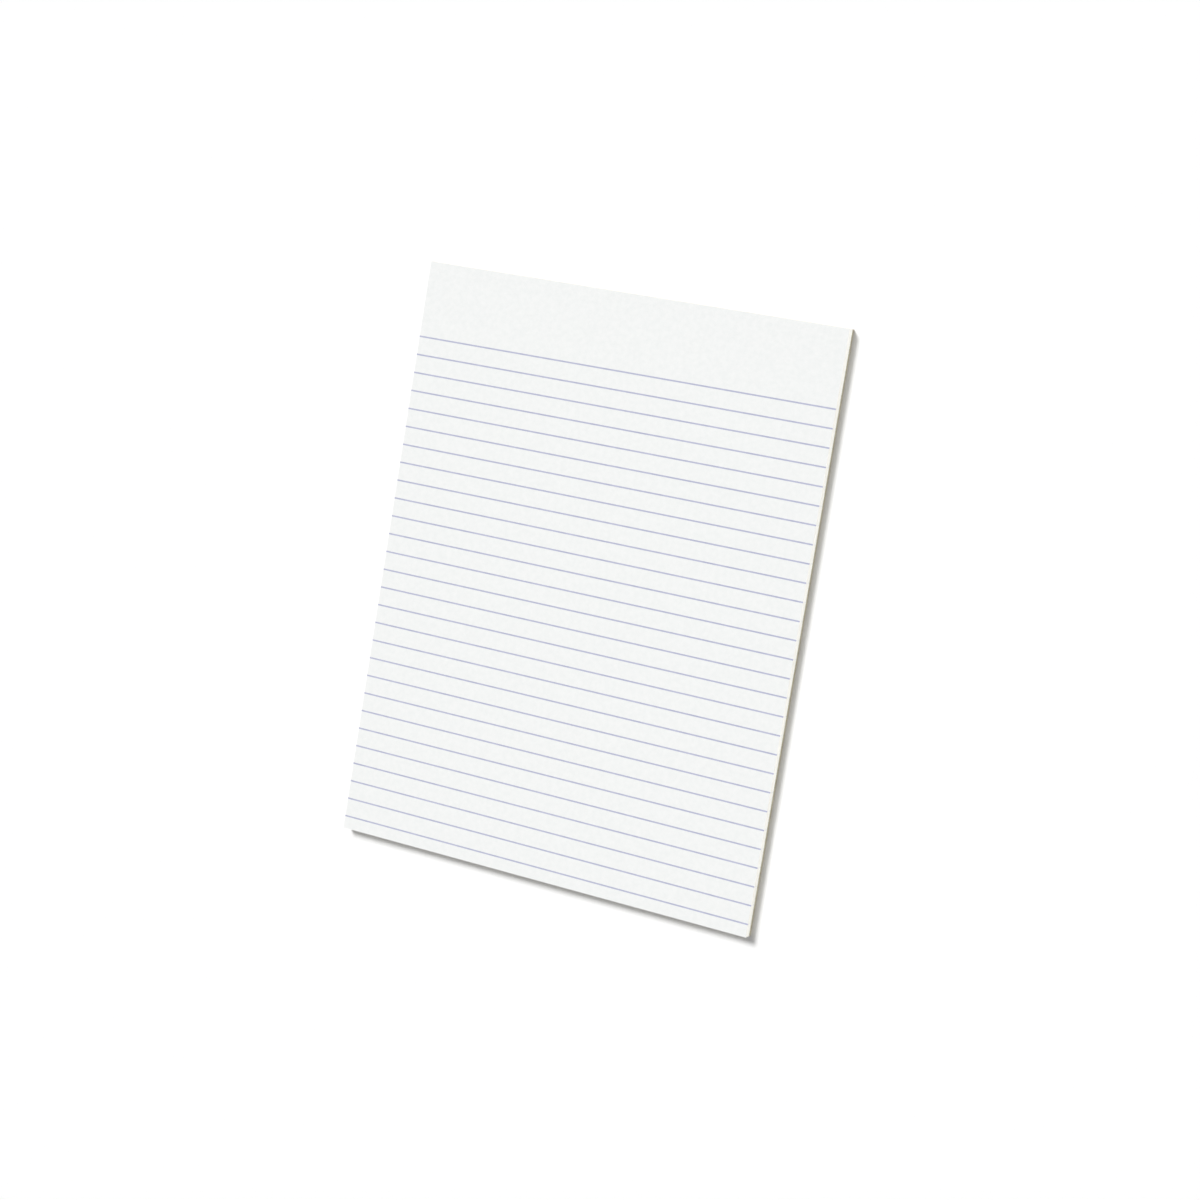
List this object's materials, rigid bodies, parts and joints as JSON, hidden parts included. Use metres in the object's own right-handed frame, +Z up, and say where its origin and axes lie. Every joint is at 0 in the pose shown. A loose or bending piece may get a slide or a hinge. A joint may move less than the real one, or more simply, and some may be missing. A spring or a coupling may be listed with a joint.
{
  "type": "ruled writing pad",
  "caption": "Flat letter-size writing pad: ruled white sheets glued along the head edge to a chipboard back.",
  "frame": {"origin": "middle of the chipboard back's underside, where the pad rests on a table", "axes": "+X across the page to its right, +Y up the page to the glued head edge, +Z up out of the writing face"},
  "size_m": [0.216, 0.2796, 0.006],
  "materials": {
    "paper": "matt white bond paper",
    "ruling_ink": "pale blue ruling ink on paper",
    "chipboard": "grey-brown uncoated chipboard",
    "padding_glue": "dried white padding glue, slightly glossy"
  },
  "bodies": {
    "root": {"sheets": "paper", "ruled_lines": "ruling_ink", "backing_board": "chipboard", "glue_edge": "padding_glue"}
  },
  "joints": []
}
